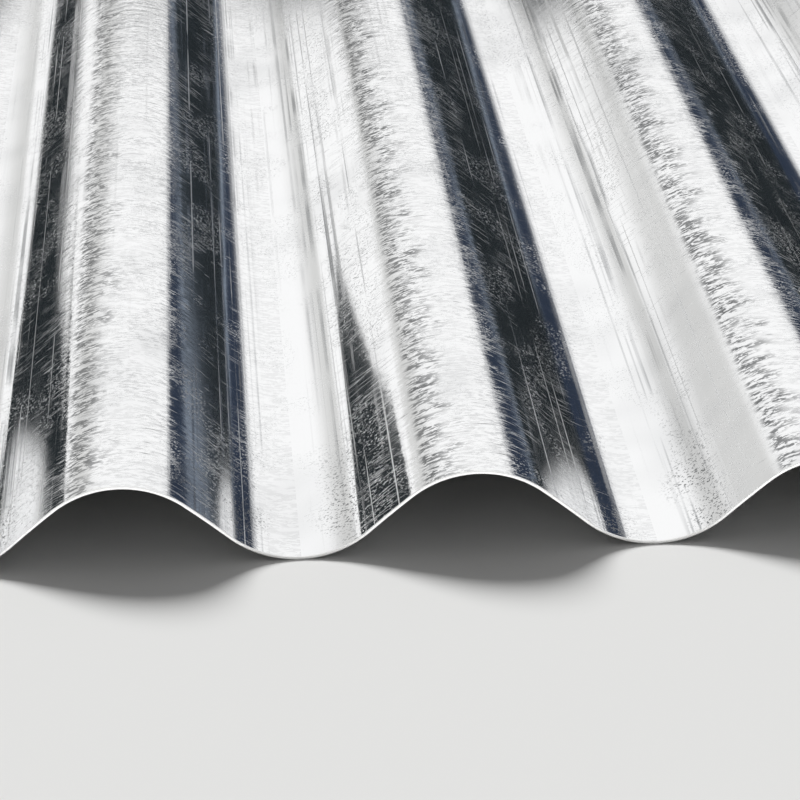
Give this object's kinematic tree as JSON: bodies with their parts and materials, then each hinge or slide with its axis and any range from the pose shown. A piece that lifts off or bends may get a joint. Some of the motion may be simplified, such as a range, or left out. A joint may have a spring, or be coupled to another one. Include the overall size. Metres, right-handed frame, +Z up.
{
  "type": "corrugated metal sheet",
  "caption": "Corrugated galvanised steel sheet for roofs and walls: round waves run along its whole length, its ends are cut square, and its side edges lap over the next sheet.",
  "frame": {"origin": "on the floor under the middle of the sheet, in the plane that the valleys rest on", "axes": "+X across the waves, +Y along the waves to the back cut end, +Z up from valleys to crests"},
  "size_m": [0.8364, 2, 0.0184],
  "materials": {
    "zinc_coated_steel": "bright zinc coating, smooth, with fine rolling lines along the waves and small scuffs"
  },
  "bodies": {
    "root": {"corrugated_sheet": "zinc_coated_steel"}
  },
  "joints": []
}
